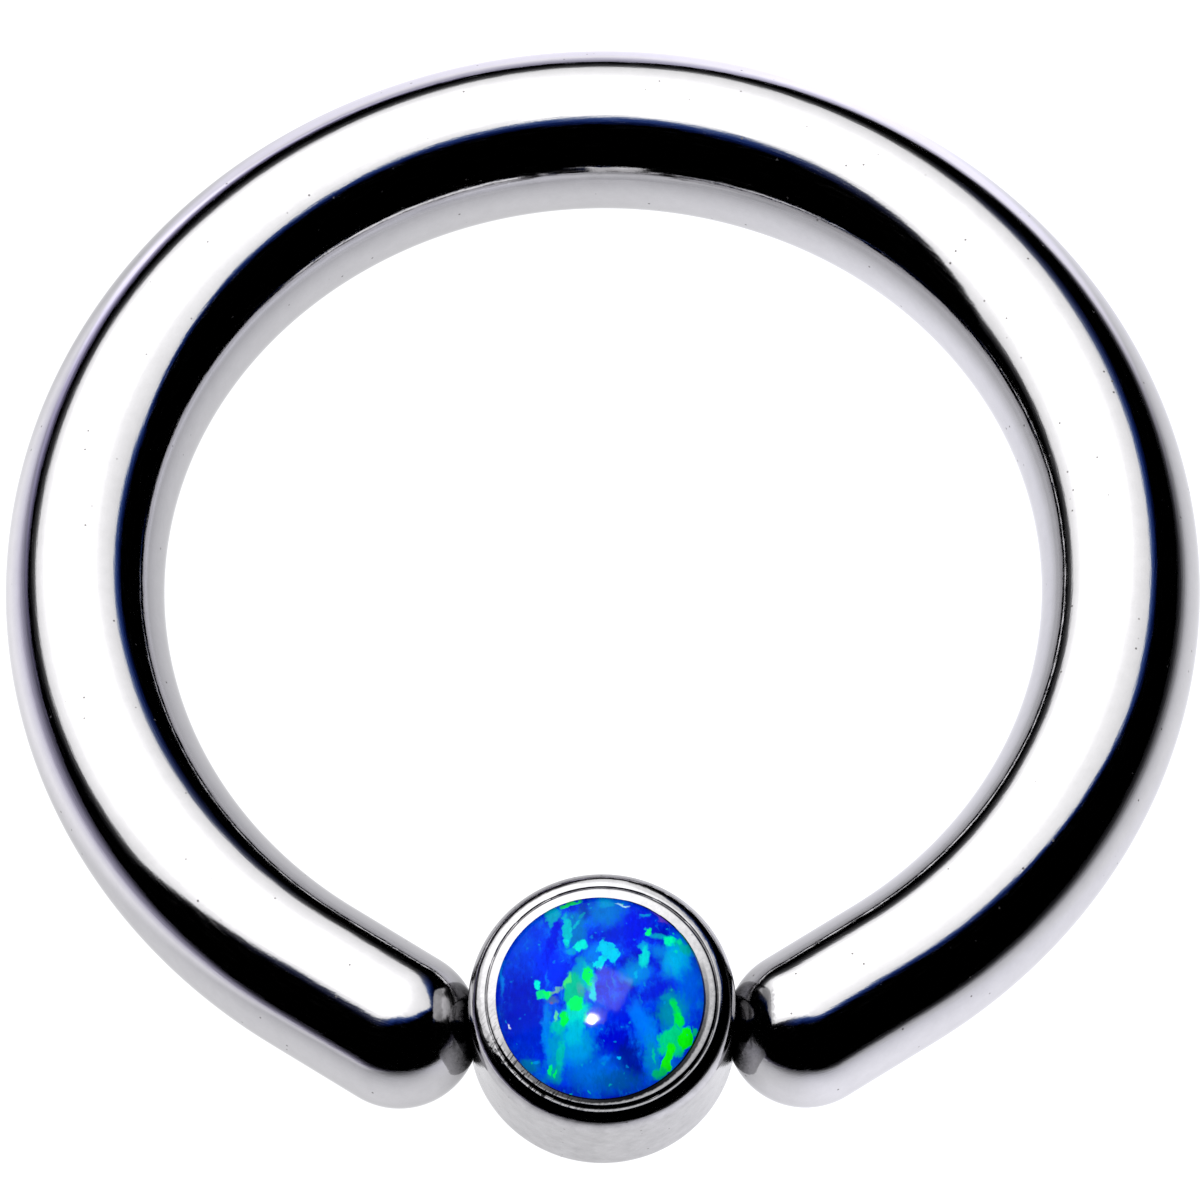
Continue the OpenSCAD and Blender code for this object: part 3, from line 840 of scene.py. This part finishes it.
# %% Chart the flashes in the opal, and two painted highlights
FLASHES_AND_HIGHLIGHTS = [
    # right and up from the middle, half width, half height, turn in degrees, softness, strength, colour
    (-1.45, 0.70, 0.40, 0.80, -15, 0.7, 0.7, "0040E6"),
    (-0.90, 0.65, 0.30, 0.40, 0, 0.7, 0.9, "0030FF"),
    (-1.50, -0.20, 0.45, 0.75, 0, 0.6, 0.9, "0012BE"),
    (-1.30, -0.75, 0.30, 0.40, 0, 0.7, 0.8, "0028D2"),
    (-0.86, 1.20, 0.11, 0.42, -14, 0.5, 0.9, "000EE0"),
    (0.62, 1.38, 0.32, 0.38, 0, 0.6, 0.95, "0010E8"),
    (0.20, 1.28, 0.30, 0.16, 0, 0.7, 0.8, "0026D6"),
    (0.10, 1.68, 0.32, 0.24, 0, 0.6, 0.85, "0078D2"),
    (0.12, 1.86, 0.16, 0.07, 0, 0.6, 0.8, "00A0DC"),
    (-0.30, 1.66, 0.12, 0.15, 20, 0.6, 0.8, "003CA8"),
    (1.15, 0.15, 0.28, 0.26, 0, 0.7, 0.9, "0018D8"),
    (1.66, 0.25, 0.20, 0.55, 0, 0.7, 0.8, "0060E6"),
    (0.45, -0.25, 0.32, 0.28, 0, 0.6, 0.9, "0016E4"),
    (0.28, -0.85, 0.36, 0.34, 0, 0.5, 0.95, "0008D2"),
    (0.55, -1.20, 0.26, 0.36, 15, 0.6, 0.9, "001894"),
    (-0.15, -1.42, 0.45, 0.35, 0, 0.7, 0.8, "0074E4"),
    (0.35, -1.60, 0.45, 0.20, 0, 0.7, 0.8, "0058A8"),
    (0.10, -1.15, 0.10, 0.08, 0, 0.6, 0.7, "0082FA"),
    (0.72, -0.36, 0.13, 0.34, 14, 0.5, 0.9, "0078FF"),
    (0.96, -0.72, 0.13, 0.46, 8, 0.5, 0.85, "0082FA"),
    (-0.45, 1.32, 0.20, 0.32, 8, 0.5, 0.8, "0078BE"),
    (-0.12, 0.85, 0.16, 0.20, 0, 0.7, 0.8, "0082F0"),
    (0.66, 0.52, 0.24, 0.20, 20, 0.6, 0.8, "0096E6"),
    (1.42, 0.80, 0.24, 0.34, 0, 0.6, 0.9, "00B4E6"),
    (1.10, 0.90, 0.12, 0.10, -20, 0.6, 0.7, "0082DC"),
    (-0.98, -0.65, 0.09, 0.60, 2, 0.4, 0.9, "0082F0"),
    (-0.78, -0.95, 0.17, 0.48, -4, 0.45, 0.85, "00A0D2"),
    (-0.40, -0.90, 0.28, 0.34, -25, 0.5, 0.9, "009EE6"),
    (-0.72, -1.05, 0.07, 0.34, -6, 0.4, 0.85, "00C3B4"),
    (0.98, -1.10, 0.14, 0.36, 4, 0.5, 0.8, "008CC8"),
    (1.35, -0.25, 0.26, 0.36, 0, 0.5, 0.85, "0096AA"),
    (1.27, 0.03, 0.12, 0.06, 0, 0.5, 0.8, "0090B8"),
    (-1.30, -1.28, 0.18, 0.14, 0, 0.5, 0.8, "0082B4"),
    (-0.87, 1.62, 0.16, 0.13, 30, 0.25, 0.9, "00AAC8"),
    (-0.92, 1.44, 0.04, 0.08, -15, 0.4, 0.8, "00A0C8"),
    (-0.62, 1.34, 0.08, 0.29, 3, 0.25, 0.9, "00C4CC"),
    (-0.62, 1.10, 0.06, 0.06, 0, 0.4, 0.9, "00DCDC"),
    (-0.44, 1.44, 0.10, 0.03, 42, 0.4, 0.85, "00B4C8"),
    (-0.34, 1.60, 0.07, 0.03, 40, 0.4, 0.7, "00A0B4"),
    (-0.36, 1.04, 0.13, 0.09, 18, 0.2, 1.0, "00E6D7"),
    (-0.55, 0.93, 0.10, 0.05, 10, 0.5, 0.7, "00AADC"),
    (0.84, 0.82, 0.09, 0.23, -10, 0.3, 0.95, "00DCDA"),
    (0.79, 1.03, 0.05, 0.06, 0, 0.4, 0.8, "00AADC"),
    (0.68, 0.48, 0.05, 0.05, 20, 0.4, 0.8, "00BEF0"),
    (0.14, 0.98, 0.17, 0.15, -10, 0.12, 1.0, "00C8F0"),
    (0.24, 0.85, 0.11, 0.13, 0, 0.12, 1.0, "00CDF5"),
    (-0.01, 0.72, 0.14, 0.10, 38, 0.15, 1.0, "00DCF0"),
    (-0.38, 0.62, 0.10, 0.22, -20, 0.5, 0.8, "00A0C8"),
    (-0.48, 0.15, 0.19, 0.36, 0, 0.2, 0.9, "00C88C"),
    (-0.60, 0.36, 0.05, 0.14, -20, 0.4, 0.9, "46E678"),
    (-0.36, 0.20, 0.08, 0.10, 0, 0.5, 0.7, "50A0AA"),
    (-0.22, 0.42, 0.13, 0.26, 5, 0.4, 0.9, "00C8C8"),
    (-0.13, 0.14, 0.06, 0.17, 8, 0.3, 0.9, "00DCE6"),
    (-0.22, 0.47, 0.08, 0.17, 5, 0.15, 1.0, "00FA64"),
    (-1.05, 0.10, 0.15, 0.09, 0, 0.2, 1.0, "00E68C"),
    (-0.98, 0.11, 0.07, 0.06, 0, 0.4, 1.0, "00FF64"),
    (-1.15, 0.28, 0.06, 0.09, 10, 0.3, 1.0, "00F0DC"),
    (-0.98, 0.38, 0.03, 0.12, 0, 0.5, 0.7, "0078F0"),
    (-0.80, 0.16, 0.13, 0.04, 25, 0.4, 0.8, "78BE96"),
    (-0.88, -0.03, 0.11, 0.07, 0, 0.5, 0.8, "466EA0"),
    (-0.91, -0.08, 0.04, 0.04, 0, 0.5, 0.7, "825A82"),
    (-0.44, -0.30, 0.22, 0.32, -20, 0.3, 0.95, "00E1D2"),
    (-0.48, -0.66, 0.18, 0.24, -15, 0.5, 0.9, "00BEE1"),
    (-0.78, -0.52, 0.14, 0.14, 0, 0.4, 0.85, "00C8B4"),
    (-0.43, -0.08, 0.14, 0.14, 20, 0.2, 1.0, "00FF6E"),
    (-0.66, -0.38, 0.10, 0.12, -10, 0.2, 1.0, "00FA50"),
    (-0.82, -0.32, 0.03, 0.09, 0, 0.4, 0.9, "64E6A0"),
    (-0.55, 1.84, 0.22, 0.045, 17, 0.25, 0.95, "14DC64"),
    (-0.85, -1.45, 0.13, 0.16, 0, 0.5, 0.8, "00AAA0"),
    (-0.92, -1.36, 0.04, 0.10, 5, 0.25, 1.0, "00FA82"),
    (-0.83, -1.44, 0.03, 0.08, -15, 0.3, 1.0, "00F064"),
    (1.10, 1.20, 0.22, 0.05, -14, 0.5, 0.8, "00AAC8"),
    (0.91, 1.30, 0.07, 0.08, 0, 0.25, 1.0, "00F582"),
    (1.31, 1.13, 0.10, 0.10, 0, 0.4, 1.0, "00FAB4"),
    (1.56, 1.00, 0.22, 0.07, -42, 0.4, 0.9, "00B4AF"),
    (1.48, 1.12, 0.05, 0.05, 30, 0.4, 0.9, "00DCA0"),
    (1.43, 0.90, 0.04, 0.04, 0, 0.4, 0.9, "00DCC8"),
    (0.85, 1.62, 0.11, 0.03, 20, 0.4, 0.8, "00A0DC"),
    (1.38, -0.82, 0.27, 0.30, -20, 0.2, 0.95, "00DC82"),
    (1.38, -0.12, 0.06, 0.14, 15, 0.4, 1.0, "00DC5A"),
    (1.47, -0.38, 0.08, 0.17, 12, 0.4, 1.0, "00F046"),
    (1.61, -0.74, 0.13, 0.24, -5, 0.15, 1.0, "0AFF14"),
    (1.27, -1.18, 0.11, 0.32, -16, 0.15, 1.0, "14FA14"),
    (1.12, -1.45, 0.12, 0.12, 0, 0.4, 0.9, "00C86E"),
    (1.00, -1.08, 0.03, 0.14, 0, 0.5, 0.9, "00C8A0"),
    (1.79, -0.66, 0.03, 0.08, -10, 0.4, 0.8, "00D25A"),
    (0.34, -1.13, 0.035, 0.035, 0, 0.4, 1.0, "00B4FF"),
    (-0.55, -1.83, 0.035, 0.035, 0, 0.4, 1.0, "00DCC8"),
    (-1.18, -1.22, 0.06, 0.03, 15, 0.5, 0.9, "0096F0"),
    (-1.84, 0.50, 0.04, 0.40, 4, 0.5, 0.8, "0082F0"),
    (1.14, 1.56, 0.04, 0.16, 50, 0.6, 0.6, "8246C8"),
    # The last two rows are painted highlights: small white glints near the upper rim and the left rim
    (0.43, 1.81, 0.11, 0.02, -12, 0.5, 0.9, "B4F0FF"),
    (-1.68, -0.52, 0.02, 0.06, 22, 0.5, 1.0, "DCEBFF"),
]
print(len(FLASHES_AND_HIGHLIGHTS), "flashes charted")

# %% [markdown]
# Under the flashes the body is never one flat blue. A cloudy noise runs it from nearly navy to azure, long
# smears cross it, and single grains light up in cyan and green. A finer noise frays the edges of the charted
# flashes. It is drawn out upwards, because the opal's flakes split along that way. Towards the stone's rim the
# blue is darkened by painted shade, where the dome turns away. The colour also glows as painted light, so the
# stone stays bright whatever light falls on it.

# %% Mix the opal
OPAL_CLOUDS = [(0.28, "000AA8"), (0.40, "0018CE"), (0.50, "0032EA"), (0.60, "0056F0"), (0.72, "007CE6")]
OPAL_RIM_SHADE = [(0, 1.0), (1.5, 1.0), (1.8, 0.9), (1.93, 0.7), (2.0, 0.45)]
# How strongly the play of colour glows: painted light, since the stone is no lamp
OPAL_PAINTED_GLOW = 0.8
OPAL_BODY = 0.3
# The chart is drawn as the eye sees it: a look from the front moves a place up by this share of its height
LOOK_SLANT = 0.29
CLOUD_MM = 0.45
RAG_MM = 0.11
RAG = 1.0
STREAK = 0.7
FLAKE_MM = 0.16
FIBRE_MM = 0.045
SMEAR_TURN = math.radians(10)
GRAIN_CELL_MM = 0.07
DOME_MARK_MM = 0.05
DOME_MARK_HEIGHT = 0.0012


def opal_material():
    material = bpy.data.materials.new("blue_opal_cabochon")
    material.use_nodes = True
    material.cycles.emission_sampling = "NONE"
    tree = material.node_tree

    # Millimetres on the stone's face: right, up and out from its middle
    middle = bead_place @ Vector((STONE_SHIFT, 0, 0)) * MM
    place = add(tree, "ShaderNodeTexCoord").outputs["Object"]
    face = add(tree, "ShaderNodeMapping", {"Vector": place, "Location": middle, "Rotation": (BEAD_TURN, 0, 0),
                                            "Scale": (MM, MM, MM)}, vector_type="TEXTURE").outputs[0]
    bent = face
    for size, reach in ((FLAKE_MM, 0.16), (FIBRE_MM, 0.05)):
        wobble = add(tree, "ShaderNodeTexNoise", {"Vector": face, "Scale": 1 / size, "Detail": 1.0}).outputs["Color"]
        centred = add(tree, "ShaderNodeVectorMath", {0: wobble, 1: (-0.5, -0.5, -0.5)}, operation="ADD").outputs[0]
        bent = add(tree, "ShaderNodeVectorMath", {0: centred, 1: (reach, reach, 0), 2: bent},
                   operation="MULTIPLY_ADD").outputs[0]
    parts = add(tree, "ShaderNodeSeparateXYZ", {0: bent}).outputs
    seen_up = calculate(tree, "MULTIPLY_ADD", calculate(tree, "SUBTRACT", parts["Z"], EDGE_Z), LOOK_SLANT, parts["Y"])
    flat = add(tree, "ShaderNodeCombineXYZ", {"X": parts["X"], "Y": seen_up, "Z": 1.0}).outputs[0]

    # The cloudy body
    clouds = add(tree, "ShaderNodeTexNoise", {"Vector": flat, "Scale": 1 / CLOUD_MM, "Detail": 5.0, "Roughness": 0.6})
    play = ramp(tree, clouds.outputs[0], OPAL_CLOUDS)
    along = add(tree, "ShaderNodeMapping", {"Vector": flat, "Rotation": (0, 0, SMEAR_TURN), "Scale": (0.09, 0.5, 1)},
                vector_type="TEXTURE")
    smears = add(tree, "ShaderNodeTexNoise", {"Vector": along.outputs[0], "Scale": 1.0, "Detail": 5.0,
                                               "Roughness": 0.6}).outputs[0]
    smeared = add(tree, "ShaderNodeMapRange", {"Value": smears, "From Min": 0.56, "From Max": 0.74, "To Max": 0.5})
    play = trace(tree, smeared.outputs[0], play, "0096DC")
    fibrous = add(tree, "ShaderNodeVectorMath", {0: face, 1: (1.7, 0.7, 1.0)}, operation="MULTIPLY").outputs[0]
    rag = add(tree, "ShaderNodeTexNoise", {"Vector": fibrous, "Scale": 1 / RAG_MM, "Detail": 4.0, "Roughness": 0.65})
    ragged = calculate(tree, "MULTIPLY_ADD", rag.outputs[0], RAG, -(RAG + STREAK) / 2)
    ragged = calculate(tree, "MULTIPLY_ADD", smears, STREAK, ragged)

    # The charted flashes and painted highlights. The face's third part is 1, so a product with three numbers turns,
    # moves and scales it
    for right, up, width, height, turn, softness, strength, code in FLASHES_AND_HIGHLIGHTS:
        level, slant = math.cos(math.radians(turn)), math.sin(math.radians(turn))
        across = (level / width, slant / width, -(right * level + up * slant) / width)
        upward = (-slant / height, level / height, (right * slant - up * level) / height)
        inside = [add(tree, "ShaderNodeVectorMath", {0: flat, 1: row}, operation="DOT_PRODUCT").outputs["Value"]
                  for row in (across, upward)]
        edge = calculate(tree, "ADD", distance(tree, inside[0], inside[1], 0.0), ragged)
        mask = add(tree, "ShaderNodeMapRange", {"Value": edge, "From Min": 1 + softness, "From Max": 1 - softness,
                                                 "To Max": strength}, interpolation_type="SMOOTHSTEP")
        play = trace(tree, mask.outputs[0], play, code)

    # Single grains that light up, and a fine unevenness all over
    cells = add(tree, "ShaderNodeTexVoronoi", {"Vector": bent, "Scale": 1 / GRAIN_CELL_MM})
    chance = add(tree, "ShaderNodeSeparateColor", {0: cells.outputs["Color"]}).outputs
    lit = fading(tree, calculate(tree, "ADD", cells.outputs["Distance"], ragged), 0.15, 0.45)
    chosen = calculate(tree, "MULTIPLY", lit, calculate(tree, "GREATER_THAN", chance[0], 0.95))
    grain = ramp(tree, chance[1], [(0, "0078F0"), (0.6, "00A0E0"), (0.9, "00D0B0"), (1, "10E878")])
    play = add(tree, "ShaderNodeMix", {0: calculate(tree, "MULTIPLY", chosen, 0.6), 6: play, 7: grain},
               data_type="RGBA").outputs[2]
    shade = ramp(tree, rag.outputs[0], [(0.3, 0.86), (0.5, 1.0), (0.7, 1.12)])

    # Random tone from the fraying noise, then painted shade towards the stone's rim
    level_place = add(tree, "ShaderNodeVectorMath", {0: face, 1: (1, 1, 0)}, operation="MULTIPLY").outputs[0]
    from_centre = add(tree, "ShaderNodeVectorMath", {0: level_place}, operation="LENGTH").outputs["Value"]
    for share in (shade, ramp(tree, from_centre, OPAL_RIM_SHADE)):
        play = add(tree, "ShaderNodeMix", {0: 1.0, 6: play, 7: share}, data_type="RGBA",
                   blend_type="MULTIPLY").outputs[2]
    body = add(tree, "ShaderNodeVectorMath", {0: play, "Scale": OPAL_BODY}, operation="SCALE").outputs[0]
    polish = add(tree, "ShaderNodeTexNoise", {"Vector": face, "Scale": 1 / DOME_MARK_MM, "Detail": 2.0}).outputs[0]
    marks = add(tree, "ShaderNodeBump", {"Height": polish, "Strength": 1.0, "Distance": DOME_MARK_HEIGHT * MM})
    # The play of colour is both the base colour and a painted glow of emission
    fill(tree, tree.nodes["Principled BSDF"], {
        "Base Color": body, "Emission Color": play, "Emission Strength": OPAL_PAINTED_GLOW, "Roughness": 0.03, "IOR": 1.45,
        "Specular IOR Level": 0.03, "Normal": marks.outputs[0]})
    return material


opal = opal_material()
print("opal mixed from", len(opal.node_tree.nodes), "nodes")


# %% Cut the opal
def opal_circles():
    base = EDGE_Z - STONE_SIDE
    widest = math.asin(STONE_R / DOME_R)
    dome = [(DOME_R * math.sin(widest * step / 60), DOME_Z + DOME_R * math.cos(widest * step / 60))
            for step in range(60, -1, -1)]
    rows = [(0, base), (STONE_R, base)] + dome
    return [(radius, level, STONE_SHIFT) for radius, level in rows]


def cut_opal():
    mesh = turned("opal", opal_circles())
    mesh.materials.append(opal)
    mesh.set_sharp_from_angle(angle=math.radians(35))
    return mesh


opal_piece = finished("domed_opal", cut_opal(), "bead", "opal")

# %% [markdown]
# ## The stone's own lamps
#
# The stone's dome shows two more lamps inside the tent: a small bright one that makes the white highlight,
# and a soft window whose pale patch lies over the blue. Where they hang follows from the dome, since a mirror
# direction is the view turned about the surface's normal. They are linked to the stone alone, so that the
# steel and the sheet keep the tent's even light.

# %% Hang the lamps that the stone reflects
LAMP_DISTANCE = 300.0
LAMPS = [
    # name, degrees towards the back, degrees to the right, width, height and turn in degrees, light
    ("highlight_lamp", -12.0, -4.8, 6.5, 5.5, 30.0, 900.0),
    ("halo_lamp", -11.0, -3.0, 13.0, 11.0, 30.0, 30.0),
    ("window_lamp", 6.5, 5.0, 21.0, 22.0, 12.0, 30.0),
]


def hang_lamp(lit, name, back, right, width, height, turn, light):
    """An area lamp in that direction from the bead, facing it, as wide and high as those angles."""
    data = bpy.data.lights.new(name, "AREA")
    data.shape = "RECTANGLE" if width > 20 else "ELLIPSE"
    data.size = 2 * LAMP_DISTANCE * math.tan(math.radians(width / 2)) * MM
    data.size_y = 2 * LAMP_DISTANCE * math.tan(math.radians(height / 2)) * MM
    data.energy = light * math.pi * data.size * data.size_y
    lamp = bpy.data.objects.new(name, data)
    bpy.context.scene.collection.objects.link(lamp)
    way = Vector((math.tan(math.radians(right)), math.tan(math.radians(back)), 1)).normalized()
    lamp.location = (bead_middle + way * LAMP_DISTANCE) * MM
    lamp.rotation_euler = (way.to_track_quat("Z", "Y") @ Quaternion((0, 0, 1), math.radians(turn))).to_euler()
    lamp.light_linking.receiver_collection = lit
    lamp.visible_diffuse = False
    lamp.visible_camera = False


lit_by_lamps = bpy.data.collections.new("lit_by_lamps")
lit_by_lamps.objects.link(opal_piece)
for row in LAMPS:
    hang_lamp(lit_by_lamps, *row)
print("lamps:", [row[0] for row in LAMPS])
